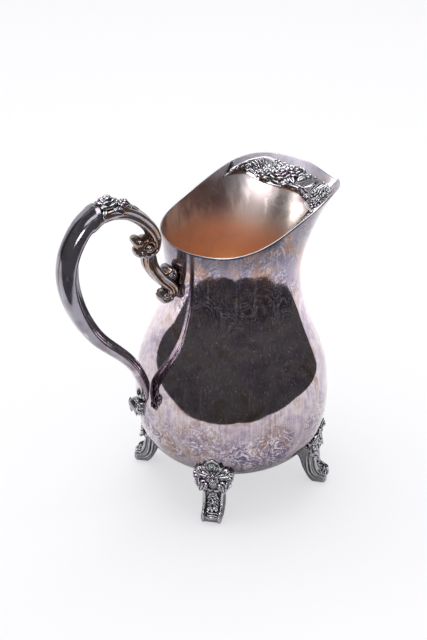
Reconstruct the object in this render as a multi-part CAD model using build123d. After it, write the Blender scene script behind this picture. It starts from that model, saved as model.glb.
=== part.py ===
from build123d import *
import os
from math import atan2, copysign, cos, hypot, pi, sin, sqrt

# A footed silver-plated water pitcher with a soldered ice guard.
# Millimetres, +Z up, table at z = 0, spout towards +X, handle towards -X.
os.makedirs("parts", exist_ok=True)

# ---- driving dimensions -------------------------------------------------------
WALL = 1.15             # spun sheet of the body
FLOOR_Z = 17.0          # underside of the body above the table
FLOOR_THICK = 1.4
FLARE_START = 148.0     # below this height the body is round
FLARE_POWER = 2.8       # how suddenly the neck opens into the spout
RING_POINTS = 48

# (height, outer radius) of the round body
PROFILE = [(17, 24), (19, 28), (22.7, 37.4), (26.5, 45.3), (31.3, 52.9), (36, 58.8),
           (41, 63.1), (50, 67.8), (60, 70.2), (70, 71.2), (80, 71.3), (90, 70.4), (102.5, 68.4),
           (112, 65.5), (126, 59.9), (140, 54.4), (150, 51.4), (159.5, 49.5), (174, 48.2),
           (183, 48.2), (193, 48.7), (213, 49.5), (244, 50.5)]

# the trimmed rim, half of it, from the spout tip round to the handle: (x, y, z)
RIM = [(92, 0, 216.8), (89.2, 6.0, 219.3), (82, 14.2, 225.8), (71, 29, 230.5), (56, 42, 232.5),
       (39, 49.5, 230), (20, 51.5, 223), (0, 50.5, 214), (-26, 43, 206), (-44, 25, 204.4),
       (-50.5, 0, 204)]

# handle grip centreline, (distance behind the body axis, height), bottom to top
GRIP = [(74.6, 85.5), (75.0, 97.2), (78.4, 107.9), (84.6, 119.5), (93.4, 130.3), (110.7, 148.1),
        (123.8, 169.7), (130.7, 192.4), (129.8, 212.6), (122.8, 228.0), (114.2, 237.3), (104.3, 242.4)]
GRIP_THICK = [(0, 4.4), (0.07, 5.2), (0.2, 6.4), (0.4, 8.4), (0.6, 10.4), (0.78, 11.8), (0.92, 12.2),
              (1, 13.2)]
GRIP_WIDTH = [(0, 9.0), (0.07, 10.0), (0.2, 11.5), (0.4, 14.0), (0.6, 16.6), (0.78, 18.4),
              (0.92, 18.6), (1, 19.6)]
GRIP_WALL = 1.3
RIB_THICK = [(0, 4.0), (0.5, 5.6), (1, 6.8)]    # raised rib along the inside; half of it is proud
RIB_WIDTH = 6.4

# upper scroll from under the cuff over to the volute
UPPER = [(113.5, 235.2), (106.5, 239.4), (97.2, 241.0), (87.0, 238.9), (76.9, 232.5),
         (68.2, 223.0), (64.3, 212.5), (65.6, 205.6)]
UPPER_THICK = [(0, 9.6), (0.35, 9.2), (0.7, 7.2), (1, 5.2)]
UPPER_WIDTH = [(0, 14.0), (0.35, 13.4), (0.7, 12.0), (1, 11.0)]
VOLUTE = (70.4, 209.6)
VOLUTE_R = 8.0

# S-scroll from the volute down to the neck
BRACKET = [(68.6, 203.5), (67.6, 195.0), (63.0, 186.0), (56.0, 177.8), (51.4, 171.0),
           (53.5, 164.8), (58.6, 164.2), (60.6, 168.2)]
BRACKET_THICK = [(0, 6.4), (0.4, 6.0), (0.75, 5.0), (1, 3.6)]
BRACKET_WIDTH = [(0, 11.5), (0.5, 11.5), (1, 10.0)]
BRACKET_CURL = (53.4, 185.2)
BRACKET_END = (57.0, 168.4)
TAIL = (80.0, 85.6)
TAIL_TIP = (79.0, 79.4)

FLOWER_TOP = 254.3
FLOWER_AT = (101.0, 246.6)   # (distance behind the axis, height) of the main blossom

# ice guard, half of it, spout axis first: inner edge, and outer edge run on into the wall
GUARD_INNER = [(56, 0, 216), (52.7, 11, 216), (47.5, 23, 216), (44.3, 32, 216.6), (42.2, 38.5, 218),
               (39.0, 42.8, 219), (32.0, 45.6, 219.2), (24.0, 47.0, 216.6)]
GUARD_OUTER = [(78.2, 0, 219.2), (77.5, 13.2, 220.6), (72.8, 22.6, 226.0), (66.0, 31.4, 227.4),
               (59.0, 39.8, 230.2), (49.8, 45.4, 229.0), (39.8, 48.6, 226.0), (25.5, 51.5, 218.2)]
PLATE_THICK = 1.1
CASTING_RISE = 2.4

# feet
LEG_BACK = [(49.0, 27.0), (53.3, 21.0), (55.4, 14.5), (58.2, 8.5), (61.4, 3.4), (65.5, 0.0)]
LEG_TOE = [(69.8, 0.0), (73.2, 1.8), (74.4, 5.0), (73.2, 8.0), (70.6, 9.2), (68.0, 10.2),
           (66.0, 13.2), (64.9, 18.0), (64.4, 23.0), (64.6, 28.0), (56.0, 33.0)]
LEG_WIDTH = 15.4
SOLE_ROUND = 4.2        # the toe is rounded off towards its sides
BORDER = 2.2            # raised edge each side of the leg
PAD_THICK = 2.4
PAD = [(0, 55.5), (6.5, 49.2), (16.0, 40.6), (13.0, 34.4), (11.5, 28.0), (0, 24.6)]
COLLAR = (62.2, 27.0)
FOOT_ANGLES = {"foot_spout_left": 45, "foot_handle_left": 135,
               "foot_handle_right": 225, "foot_spout_right": 315}


def smooth(points):
    """Natural cubic through (u, v) points; gives v as a function of u."""
    u, v = [p[0] for p in points], [p[1] for p in points]
    n = len(u)
    h = [u[i + 1] - u[i] for i in range(n - 1)]
    c, d, m = [0.0] * n, [0.0] * n, [0.0] * n
    for i in range(1, n - 1):
        w = 2 * (h[i - 1] + h[i]) - h[i - 1] * c[i - 1]
        c[i] = h[i] / w
        d[i] = (6 * ((v[i + 1] - v[i]) / h[i] - (v[i] - v[i - 1]) / h[i - 1])
                - h[i - 1] * d[i - 1]) / w
    for i in range(n - 2, 0, -1):
        m[i] = d[i] - c[i] * m[i + 1]

    def at(x):
        i = sum(1 for a in u[1:-1] if a <= x)
        t, k = x - u[i], h[i]
        b = (v[i + 1] - v[i]) / k - k * (2 * m[i] + m[i + 1]) / 6
        return v[i] + b * t + m[i] * t * t / 2 + (m[i + 1] - m[i]) * t ** 3 / (6 * k)
    return at


# ---- body -----------------------------------------------------------------------
profile = smooth(PROFILE)
rim_polar = [(atan2(y, x), hypot(x, y), z) for x, y, z in RIM]
rim_round = ([(-a, r, z) for a, r, z in rim_polar[4:0:-1]] + rim_polar
             + [(2 * pi - a, r, z) for a, r, z in rim_polar[-2:-6:-1]])
rim_radius = smooth([(a, r) for a, r, z in rim_round])
rim_height = smooth([(a, z) for a, r, z in rim_round])


def radius(angle, z):
    """Outer radius of the vessel in a direction, at a height."""
    r = profile(z)
    if z > FLARE_START:
        a = abs((angle + pi) % (2 * pi) - pi)
        top = rim_height(a)
        r += (rim_radius(a) - profile(top)) * ((z - FLARE_START) / (top - FLARE_START)) ** FLARE_POWER
    return r


def ring(z, wall):
    """Closed section of the vessel at a height, moved in by the wall measured square to it."""
    points = []
    for i in range(RING_POINTS):
        a = 2 * pi * i / RING_POINTS
        r = radius(a, z)
        if wall:
            up = (radius(a, z + 0.2) - radius(a, z - 0.2)) / 0.4
            around = (radius(a + 0.01, z) - radius(a - 0.01, z)) / (0.02 * r)
            r -= wall * sqrt(1 + up * up + around * around)
        points.append(Vector(r * cos(a), r * sin(a), z))
    knots = [i / RING_POINTS for i in range(RING_POINTS + 1)]
    return Wire([Edge.make_spline(points, periodic=True, parameters=knots)])


levels = [19, 21, 23.5, 26.5, 30, 34.5, 40, 47, 56, 66, 77, 88, 99, 110, 121, 132, 142, 151, 160,
          169, 178, 187, 195, 203, 210, 217, 224, 231, 238]
outer = Solid.make_loft([ring(z, 0) for z in [FLOOR_Z] + levels])
cavity = Solid.make_loft([ring(z, WALL) for z in [FLOOR_Z + FLOOR_THICK] + levels])

# everything above the rim line is trimmed away; its height depends only on x
rim_line = Spline([(-60, 203.9)] + [(x, z) for x, y, z in reversed(RIM)] + [(100, 206.6)])
above = make_face(Plane.XZ * (rim_line + Polyline((100, 206.6), (160, 206.6), (160, 260), (-60, 260),
                                                  (-60, 203.9))))
trim = extrude(above, amount=90, both=True)
body = outer - trim - cavity


# ---- handle ---------------------------------------------------------------------
def limb(points, thick, width, first=0.0, last=1.0, count=14, inset=0.0, power=2.5):
    """Loft of rounded sections square to a curve in the handle's plane."""
    path = Spline([(-b, 0, z) for b, z in points])
    t_at, w_at = smooth(thick), smooth(width)
    wires = []
    for i in range(count):
        u = first + (last - first) * i / (count - 1)
        centre, along = path @ u, path % u
        normal = Vector(along.Z, 0, -along.X)
        t, w = t_at(u) / 2 - inset, w_at(u) / 2 - inset
        section = []
        for k in range(16):
            c, s = cos(2 * pi * k / 16), sin(2 * pi * k / 16)
            n = copysign(abs(c) ** (2 / power), c) * t
            y = copysign(abs(s) ** (2 / power), s) * w
            section.append(centre + normal * n + Vector(0, y, 0))
        wires.append(Wire([Edge.make_spline(section, periodic=True,
                                            parameters=[k / 16 for k in range(17)])]))
    return Solid.make_loft(wires)


def roll(at, r, width):
    """A short barrel across the handle, its rounded edge made by a fillet."""
    barrel = Pos(-at[0], 0, at[1]) * Rot(90, 0, 0) * Cylinder(r, width)
    return fillet(barrel.edges(), min(1.6, r / 3))


grip_outer = limb(GRIP, GRIP_THICK, GRIP_WIDTH, count=20)
grip_path = Spline([(-b, 0, z) for b, z in GRIP])
rib_points = []
for i in range(12):
    u = 0.05 + 0.85 * i / 11
    p, along = grip_path @ u, grip_path % u
    reach = smooth(GRIP_THICK)(u) / 2
    rib_points.append((-(p.X + along.Z * reach), p.Z - along.X * reach))
rib = limb(rib_points, RIB_THICK, [(0, RIB_WIDTH), (1, RIB_WIDTH)], count=16, power=3.2)
grip_solid = grip_outer + rib
grip_hollow = limb(GRIP, GRIP_THICK, GRIP_WIDTH, first=0.06, last=0.94, count=18, inset=GRIP_WALL)
half_space = Pos(-100, 50, 150) * Box(200, 100, 300)
grip_left = (grip_solid - grip_hollow - outer) & half_space
grip_right = mirror(grip_left, about=Plane.XZ)
grip_half = grip_solid & half_space
grip_halves = [grip_half, mirror(grip_half, about=Plane.XZ)]

upper = limb(UPPER, UPPER_THICK, UPPER_WIDTH, count=14)
upper += roll(VOLUTE, VOLUTE_R, 12.0)
upper += roll(VOLUTE, 4.4, 15.4)
upper -= grip_halves

bracket = limb(BRACKET, BRACKET_THICK, BRACKET_WIDTH, count=18)
bracket += roll(BRACKET_CURL, 5.2, 13.0)
bracket += roll(BRACKET_END, 3.8, 12.4)
bracket = bracket - upper - outer

tail = roll(TAIL, 5.4, 12.0) + roll(TAIL_TIP, 3.6, 8.6)
tail = tail - grip_halves - outer

# spray lying on the scroll: a leafy stem, a blossom of five petals round a button, and buds
fb, fz = FLOWER_AT
flower = limb([(109.5, 243.4), (fb, fz - 1.2), (91.5, 245.6), (83.0, 241.4)],
              [(0, 4.0), (0.4, 6.0), (1, 3.0)], [(0, 9.0), (0.4, 15.6), (1, 5.0)], count=9)
flower += Pos(-fb, 0, FLOWER_TOP - 3.3) * Sphere(3.3)
for k in range(5):
    a = 2 * pi * (k + 0.5) / 5
    flower += Pos(-fb + 4.6 * cos(a), 4.6 * sin(a), fz + 2.0) * Sphere(3.2)
for db, dy, dz, r in ((-8.4, 3.4, 0.6, 2.9), (-11.6, -2.0, -0.2, 2.8), (-6.4, -4.8, -0.4, 2.7),
                      (-14.4, 1.6, -1.8, 2.4)):
    flower += Pos(-(fb + db), dy, fz + dz) * Sphere(r)
flower = flower - upper - grip_halves


# ---- ice guard --------------------------------------------------------------------
def band(inner, outer_edge, low, high, trim_in):
    """Strip between two edges: a four-sided section at each point, lofted from side to side."""
    wires = []
    pairs = list(zip(inner, outer_edge))
    pairs = [((a[0], -a[1], a[2]), (b[0], -b[1], b[2])) for a, b in reversed(pairs[1:])] + pairs
    for a, b in pairs:
        a, b = Vector(*a), Vector(*b)
        across = (b - a).normalized()
        a = a + across * trim_in
        lift = Vector(0, 0, 1) - across * across.Z
        lift = lift.normalized()
        wires.append(Wire.make_polygon([a + lift * low, b + lift * low, b + lift * high,
                                        a + lift * high], close=True))
    return Solid.make_loft(wires)


plate = band(GUARD_INNER, GUARD_OUTER, 0, PLATE_THICK, 0) & cavity
casting = band(GUARD_INNER[:-1], GUARD_OUTER[:-1], 0.5, PLATE_THICK + CASTING_RISE, 1.2) & cavity
casting -= plate
# fluted shell in the middle, a blossom each side
for k in range(7):
    y = 8.4 * (k - 3) / 3
    reach = 9.0 - 0.03 * y * y
    casting += Pos(65.5 + reach / 2, y, 221.4 + 0.016 * y * y) * Rot(0, 84, 0) * Cylinder(1.7, reach)
for side in (-1, 1):
    for k in range(5):
        a = 2 * pi * k / 5
        casting += Pos(55.2 + 3.3 * cos(a), side * (22 + 3.3 * sin(a)), 224.0 + 1.2 * cos(a)) * Sphere(2.4)
    casting += Pos(55.2, side * 22, 225.4) * Sphere(2.4)


# ---- feet -------------------------------------------------------------------------
side_line = Spline(LEG_BACK) + Polyline(LEG_BACK[-1], LEG_TOE[0]) + Spline(LEG_TOE) \
    + Polyline(LEG_TOE[-1], LEG_BACK[0])
side = make_face(Plane.XZ * side_line)
leg = extrude(side, amount=LEG_WIDTH / 2, both=True)
leg &= extrude(Plane.YZ * (Pos(0, 30) * RectangleRounded(LEG_WIDTH, 60, SOLE_ROUND)), amount=90,
               dir=(1, 0, 0))
# sunk face between two raised borders
leg -= extrude(side, amount=LEG_WIDTH / 2 - BORDER, both=True) - Pos(-0.9, 0, -0.7) * leg
collar = Pos(COLLAR[0], 0, COLLAR[1]) * Rot(90, 0, 0) * Cylinder(3.2, LEG_WIDTH + 3)
leg += fillet(collar.edges(), 1.2)

# pad: a shield-shaped patch of a layer that lies on the body
layer = []
for z in (20, 25, 31, 38, 46, 55, 64):
    slope = profile(z + 0.2) / 0.4 - profile(z - 0.2) / 0.4
    k = PAD_THICK / sqrt(1 + slope * slope)
    layer.append((profile(z) + k, z - k * slope))
skin = make_face(Plane.XZ * (Spline(layer) + Polyline(layer[-1], (0, layer[-1][1]),
                                                      (0, layer[0][1]), layer[0])))
shield_half = [(x, z) for x, z in PAD]
shield = Polyline(*shield_half, *[(-x, z) for x, z in reversed(shield_half[1:-1])], close=True)
shield = extrude(make_face(Plane.YZ * shield), amount=90, dir=(1, 0, 0))
leg += revolve(skin, Axis.Z, 360) & shield

feet = {name: Rot(0, 0, angle) * leg - outer for name, angle in FOOT_ANGLES.items()}

# ---- the set, its bounding box centred on the origin -------------------------------
nodes = {"body_shell": body, "ice_guard_plate": plate, "ice_guard_casting": casting,
         "handle_grip_left": grip_left, "handle_grip_right": grip_right,
         "handle_upper_scroll": upper, "handle_bracket": bracket, "handle_tail": tail,
         "handle_flower_spray": flower, **feet}
farthest = min(v.X for v in grip_left.tessellate(0.01)[0])
AXIS_X = -(farthest + RIM[0][0]) / 2     # the body's axis once the set is centred in X
for name, part in nodes.items():
    export_step(Pos(AXIS_X, 0, 0) * part, f"parts/{name}.step")
    print(f"{name:22} {len(part.solids())} solid  {part.volume / 1000:8.2f} cm3")
print("axis at x =", round(AXIS_X, 3))
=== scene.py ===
import math

import bpy
import numpy as np
from mathutils import Matrix, Vector


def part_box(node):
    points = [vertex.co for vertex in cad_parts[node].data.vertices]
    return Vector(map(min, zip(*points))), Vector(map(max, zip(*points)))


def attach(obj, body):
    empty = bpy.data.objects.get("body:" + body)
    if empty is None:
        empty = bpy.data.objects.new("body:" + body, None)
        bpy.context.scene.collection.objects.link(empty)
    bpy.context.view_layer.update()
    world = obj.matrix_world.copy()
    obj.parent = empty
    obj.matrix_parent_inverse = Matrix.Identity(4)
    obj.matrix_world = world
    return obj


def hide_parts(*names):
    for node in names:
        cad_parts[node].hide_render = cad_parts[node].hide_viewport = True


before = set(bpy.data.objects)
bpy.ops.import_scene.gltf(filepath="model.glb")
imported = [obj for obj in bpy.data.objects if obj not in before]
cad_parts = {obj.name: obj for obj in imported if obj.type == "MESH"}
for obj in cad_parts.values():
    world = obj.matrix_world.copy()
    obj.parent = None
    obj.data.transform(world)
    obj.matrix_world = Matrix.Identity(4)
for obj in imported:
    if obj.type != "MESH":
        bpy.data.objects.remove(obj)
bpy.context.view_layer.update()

MM = 0.001
_, BODY_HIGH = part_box("body_shell")
TIP_REACH = 92.0                            # spout tip from the body's axis, mm
AXIS = np.array([BODY_HIGH.x / MM - TIP_REACH, 0.0, 0.0])

# ---- the vessel's form, the same driving dimensions as the CAD, mm -----------------
WALL = 1.15
FLOOR_Z = 17.0
CLEARANCE = 0.05                            # between the castings and the wall
FLARE_START = 148.0
FLARE_POWER = 2.8
PROFILE = [(17, 24), (19, 28), (22.7, 37.4), (26.5, 45.3), (31.3, 52.9), (36, 58.8),
           (41, 63.1), (50, 67.8), (60, 70.2), (70, 71.2), (80, 71.3), (90, 70.4), (102.5, 68.4),
           (112, 65.5), (126, 59.9), (140, 54.4), (150, 51.4), (159.5, 49.5), (174, 48.2),
           (183, 48.2), (193, 48.7), (213, 49.5), (244, 50.5)]
RIM = [(92, 0, 216.8), (89.2, 6.0, 219.3), (82, 14.2, 225.8), (71, 29, 230.5), (56, 42, 232.5),
       (39, 49.5, 230), (20, 51.5, 223), (0, 50.5, 214), (-26, 43, 206), (-44, 25, 204.4),
       (-50.5, 0, 204)]

# handle, (distance behind the body's axis, height)
GRIP = [(74.6, 85.5), (75.0, 97.2), (78.4, 107.9), (84.6, 119.5), (93.4, 130.3), (110.7, 148.1),
        (123.8, 169.7), (130.7, 192.4), (129.8, 212.6), (122.8, 228.0), (114.2, 237.3), (104.3, 242.4)]
GRIP_THICK = [(0, 4.4), (0.07, 5.2), (0.2, 6.4), (0.4, 8.4), (0.6, 10.4), (0.78, 11.8), (0.92, 12.2),
              (1, 13.2)]
GRIP_WIDTH = [(0, 9.0), (0.07, 10.0), (0.2, 11.5), (0.4, 14.0), (0.6, 16.6), (0.78, 18.4),
              (0.92, 18.6), (1, 19.6)]
RIB_THICK = [(0, 4.0), (0.5, 5.6), (1, 6.8)]
RIB_WIDTH = 6.4
UPPER = [(113.5, 235.2), (106.5, 239.4), (97.2, 241.0), (87.0, 238.9), (76.9, 232.5),
         (68.2, 223.0), (64.3, 212.5), (65.6, 205.6)]
VOLUTE = (70.4, 209.6)
BRACKET = [(68.6, 203.5), (67.6, 195.0), (63.0, 186.0), (56.0, 177.8), (51.4, 171.0),
           (53.5, 164.8), (58.6, 164.2), (60.6, 168.2)]
BRACKET_CURL = (53.4, 185.2)
BRACKET_END = (57.0, 168.4)
TAIL = (80.0, 85.6)
TAIL_TIP = (79.0, 79.4)

# ice guard, half of it: inner edge, and the edge that meets the wall
GUARD_INNER = [(56, 0, 216), (52.7, 11, 216), (47.5, 23, 216), (44.3, 32, 216.6), (42.2, 38.5, 218),
               (39.0, 42.8, 219), (32.0, 45.6, 219.2), (24.0, 47.0, 216.6)]
GUARD_OUTER = [(78.2, 0, 219.2), (75.2, 12.8, 220.6), (70.5, 21.7, 225.3), (64, 30, 226.9),
               (57, 38.3, 230.0), (48, 43.6, 229.0), (38.5, 46.5, 226.0), (24, 48.8, 219.2)]
PLATE_THICK = 1.1

# feet
LEG_BACK = [(49.0, 27.0), (53.3, 21.0), (55.4, 14.5), (58.2, 8.5), (61.4, 3.4), (65.5, 0.0)]
LEG_TOE = [(69.8, 0.0), (73.2, 1.8), (74.4, 5.0), (73.2, 8.0), (70.6, 9.2), (68.0, 10.2),
           (66.0, 13.2), (64.9, 18.0), (64.4, 23.0), (64.6, 28.0), (56.0, 33.0)]
LEG_WIDTH = 15.4
SOLE_ROUND = 4.2
PAD = [(24.6, 0.4), (26.0, 9.0), (28.0, 11.5), (34.4, 13.0), (40.6, 15.6), (44.0, 12.0), (49.2, 6.5),
       (55.2, 0.5)]                        # (height, half width)
APRON = 64.6            # radius of the pad's free lower part
COLLAR = (62.8, 25.8)
FOOT_ANGLES = {"foot_spout_left": 45, "foot_handle_left": 135,
               "foot_handle_right": 225, "foot_spout_right": 315}


def smooth(points):
    """Natural cubic through (u, v) points, for numpy arrays."""
    u = np.array([p[0] for p in points], float)
    v = np.array([p[1] for p in points], float)
    n, h = len(u), np.diff(u)
    a = np.eye(n)
    b = np.zeros(n)
    for i in range(1, n - 1):
        a[i, i - 1:i + 2] = h[i - 1], 2 * (h[i - 1] + h[i]), h[i]
        b[i] = 6 * ((v[i + 1] - v[i]) / h[i] - (v[i] - v[i - 1]) / h[i - 1])
    m = np.linalg.solve(a, b)

    def at(x):
        x = np.asarray(x, float)
        i = np.clip(np.searchsorted(u, x, side="right") - 1, 0, n - 2)
        t, k = x - u[i], h[i]
        slope = (v[i + 1] - v[i]) / k - k * (2 * m[i] + m[i + 1]) / 6
        return v[i] + slope * t + m[i] * t * t / 2 + (m[i + 1] - m[i]) * t ** 3 / (6 * k)
    return at


profile = smooth(PROFILE)
polar = [(math.atan2(y, x), math.hypot(x, y), z) for x, y, z in RIM]
turned = ([(-a, r, z) for a, r, z in polar[4:0:-1]] + polar
          + [(2 * math.pi - a, r, z) for a, r, z in polar[-2:-6:-1]])
rim_radius = smooth([(a, r) for a, r, z in turned])
rim_height = smooth([(a, z) for a, r, z in turned])


def folded(angle):
    return np.abs((angle + math.pi) % (2 * math.pi) - math.pi)


def radius(angle, z):
    """Outer radius of the vessel in a direction, at a height."""
    a = folded(angle)
    top = rim_height(a)
    share = np.clip((z - FLARE_START) / (top - FLARE_START), 0, None)
    # the rolled-out rim at the sides: a lean that starts and stops softly
    lean = np.logaddexp(0, (z - 191.0) / 1.5) - np.logaddexp(0, (z - 211.0) / 1.5)
    return (profile(z) + (rim_radius(a) - profile(top)) * share ** FLARE_POWER
            + 0.085 * lean * np.sin(a) ** 2)


def skin(angle, z, out=0.0):
    """Point on the vessel's outside, moved out along its normal; arrays of angle and z."""
    def at(a, h):
        r = radius(a, h)
        return np.stack([r * np.cos(a), r * np.sin(a), h + 0 * a], -1)
    p = at(angle, z)
    around = at(angle + 0.004, z) - at(angle - 0.004, z)
    up = at(angle, z + 0.1) - at(angle, z - 0.1)
    n = np.cross(around, up)
    n /= np.linalg.norm(n, axis=-1, keepdims=True)
    return p + n * np.asarray(out)[..., None]


# ---- mesh helpers --------------------------------------------------------------------
def ring_faces(rows, cols):
    """Quads between closed rings of points."""
    r, c = np.meshgrid(np.arange(rows - 1), np.arange(cols), indexing="ij")
    c2 = (c + 1) % cols
    quads = np.stack([r * cols + c, r * cols + c2, (r + 1) * cols + c2, (r + 1) * cols + c], -1)
    return quads.reshape(-1, 4).tolist()


def capped(rows, cols, turn=1):
    """The same with a face over each end; turn is -1 where the rings run the other way."""
    ends = list(range(cols)), list(range((rows - 1) * cols, rows * cols))
    return ring_faces(rows, cols) + [ends[0][::-turn], ends[1][::turn]]


def make_object(name, verts, faces, materials, sharp=None, centre=AXIS):
    """Mesh object from points in mm about the body's axis."""
    mesh = bpy.data.meshes.new(name)
    mesh.from_pydata(((np.asarray(verts) + centre) * MM).tolist(), [], faces)
    mesh.update()
    for m in materials:
        mesh.materials.append(m)
    mesh.shade_smooth()
    if sharp:
        mesh.set_sharp_from_angle(angle=math.radians(sharp))
    ob = bpy.data.objects.new(name, mesh)
    bpy.context.scene.collection.objects.link(ob)
    return ob


def lengths(p):
    """Distance along a polyline, at each of its points."""
    return np.concatenate([[0], np.cumsum(np.linalg.norm(np.diff(p, axis=0), axis=1))])


def at_length(v, along, p):
    """Values of a polyline's columns at distances v along it."""
    return np.stack([np.interp(v, along, p[:, k]) for k in range(p.shape[1])], -1)


def steps(p):
    """Unit direction of a polyline at each of its points."""
    d = np.gradient(p, axis=0)
    return d / np.linalg.norm(d, axis=1, keepdims=True)


def heading(turn):
    """Unit vector in a direction given in degrees, and the one square to it."""
    a = math.radians(turn)
    return np.array([math.cos(a), math.sin(a)]), np.array([-math.sin(a), math.cos(a)])


def curve(points, n):
    """n points of a smooth curve through the given ones."""
    p = np.array(points, float)
    u = lengths(p)
    t = np.linspace(0, u[-1], n)
    return np.stack([smooth(list(zip(u, p[:, k])))(t) for k in range(p.shape[1])], -1)


def eased(x, low, high):
    t = np.clip((x - low) / (high - low), 0, 1)
    return t * t * (3 - 2 * t)


def spread(values, n):
    """A list stretched to n values; a single number is repeated."""
    values = np.atleast_1d(np.array(values, float))
    if len(values) == 1:
        return np.full(n, values[0])
    return np.interp(np.linspace(0, 1, n), np.linspace(0, 1, len(values)), values)


# widths along a lobe, as shares of its full width
LEAF = [0.12, 0.62, 0.95, 1.0, 0.82, 0.5, 0.1]
PETAL = [0.3, 0.7, 0.95, 1.0, 0.95, 0.7, 0.25]
DROP = [0.15, 0.35, 0.6, 0.85, 1.0, 0.9, 0.35]
LOBE = [0.35, 0.6, 0.8, 0.95, 1.0, 0.85, 0.45]
FLUTE = [0.4, 0.6, 0.8, 0.95, 1.05, 1.1, 0.5]


class Relief:
    """Closed shells in mm, modelled flat as (x, y, height), laid on a surface and fused."""

    def __init__(self, place=None):
        self.place = place
        self.verts, self.faces, self.count = [], [], 0

    def add(self, verts, faces):
        verts = np.asarray(verts, float)
        if self.place:
            verts = self.place(verts)
        self.verts.append(verts)
        self.faces += [[i + self.count for i in f] for f in faces]
        self.count += len(verts)

    def merge(self, other):
        self.verts += other.verts
        self.faces += [[i + self.count for i in f] for f in other.faces]
        self.count += other.count

    def tube(self, path, width, height=None, n=20, sides=12, vein=0.0, across=None, ridges=(0, 0.0)):
        """Bent shell along a path, its width and height (the same if not given) listed along it."""
        p = curve(path, n)
        w, h = spread(width, n) / 2, spread(width if height is None else height, n) / 2
        along = np.gradient(p, axis=0)
        along /= np.linalg.norm(along, axis=1, keepdims=True) + 1e-9
        side = np.cross(along, [0, 0, 1.0]) if across is None else np.repeat([across], n, 0)
        side = side / (np.linalg.norm(side, axis=1, keepdims=True) + 1e-9)
        over = np.cross(side, along)
        t = 2 * np.pi * np.arange(sides) / sides
        c, s = np.cos(t), np.sin(t)
        dent = 1 - vein * (s > 0) * np.exp(-(c / 0.3) ** 2)
        lift = ridges[1] * np.cos(ridges[0] * np.pi * c) * (s > 0.25)
        ring = (p[:, None] + side[:, None] * (w[:, None] * c)[..., None]
                + over[:, None] * (h[:, None] * s * dent + lift)[..., None])
        verts = np.concatenate([ring.reshape(-1, 3), p[:1], p[-1:]])
        faces = ring_faces(n, sides)
        last = n * sides
        for k in range(sides):
            j = (k + 1) % sides
            faces.append([last, j, k])
            faces.append([last + 1, last - sides + k, last - sides + j])
        self.add(verts, faces)

    def bead(self, x, y, h, r):
        t = np.linspace(0.18, np.pi - 0.18, 9)
        self.tube([(x - r * math.cos(a), y, h) for a in t], 2 * r * np.sin(t), n=len(t))

    def leaf(self, x, y, h, turn, length, width, height, bend=0.0, tip=0.0, vein=0.45, shape=LEAF):
        """A lobe from (x, y) in a direction, bent sideways, its tip lifted or lowered."""
        d, e = heading(turn)
        path = []
        for t in (0, 0.25, 0.5, 0.75, 1.0):
            q = np.array([x, y]) + d * length * t + e * bend * length * t * t
            path.append((*q, h + tip * t * t))
        self.tube(path, np.array(shape) * width, np.array(shape) * 0.5 * height + 0.5 * height,
                  n=16, vein=vein)

    def acanthus(self, x, y, h, turn, length, width, height, bend=0.0, lobes=4):
        """A leaf with a mid rib and lobes down both sides."""
        self.leaf(x, y, h, turn, length, width * 0.34, height * 1.15, bend, vein=0.0)
        d, e = heading(turn)
        for k in range(lobes):
            t = 0.08 + 0.74 * k / max(1, lobes - 1)
            q = np.array([x, y]) + d * length * t + e * bend * length * t * t
            lean = math.degrees(math.atan(2 * bend * t))
            size = width * (0.62 - 0.25 * abs(t - 0.35))
            for s in (-1, 1):
                self.leaf(*q, h, turn + lean + s * (52 - 22 * t), size, size * 0.52,
                          height * 0.9, bend=-0.25 * s, tip=-0.15 * height, vein=0.5)
        self.leaf(*(np.array([x, y]) + d * length * 0.72 + e * bend * length * 0.52), h,
                  turn + math.degrees(math.atan(1.7 * bend)), length * 0.34, width * 0.5, height, vein=0.5)

    def curl(self, x, y, h, start, turns, r0, r1, width, height, eye=0.0):
        """A scroll of a tapering rod, with a bead in its eye."""
        t = np.linspace(0, 1, 22)
        a = np.radians(start) + 2 * np.pi * turns * t
        r = r0 + (r1 - r0) * t ** 0.8
        path = np.stack([x + r * np.cos(a), y + r * np.sin(a), np.full(22, h)], -1)
        self.tube(path, width * (1 - 0.45 * t), height * (1 - 0.25 * t), n=34, sides=10)
        if eye:
            self.bead(x, y, h + 0.1 * eye, eye)

    def daisy(self, x, y, h, r, count, height, turn=0.0, heart=0.34):
        for k in range(count):
            a = turn + 360.0 * k / count
            d, _ = heading(a)
            self.leaf(x + 0.15 * r * d[0], y + 0.15 * r * d[1], h, a, r * 0.85,
                      2.4 * r / count + 0.25 * r, height, tip=0.1 * r, vein=0.55, shape=DROP)
        self.bead(x, y, h + 0.3 * height, r * heart)

    def rose(self, x, y, h, r, height):
        """Three rings of cupped petals round a bud."""
        for count, reach, rise, lean in ((6, 1.0, 0.0, 0.0), (5, 0.68, 0.32, 45), (3, 0.38, 0.62, 50)):
            for k in range(count):
                d, e = heading(360.0 * k / count + lean)
                at = np.array([x, y]) + 0.62 * reach * r * d
                half = 1.05 * reach * r * math.sin(math.pi / count) * 1.05
                z = h + rise * height
                path = [(*(at - e * half), z - 0.1 * height),
                        (*(at + d * 0.26 * reach * r), z + 0.22 * height),
                        (*(at + e * half), z - 0.1 * height)]
                self.tube(path, np.array(PETAL) * r * 0.46 * (0.6 + 0.4 * reach), height * 0.62, n=14,
                          vein=0.35)
        self.bead(x, y, h + 0.95 * height, r * 0.2)

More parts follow.
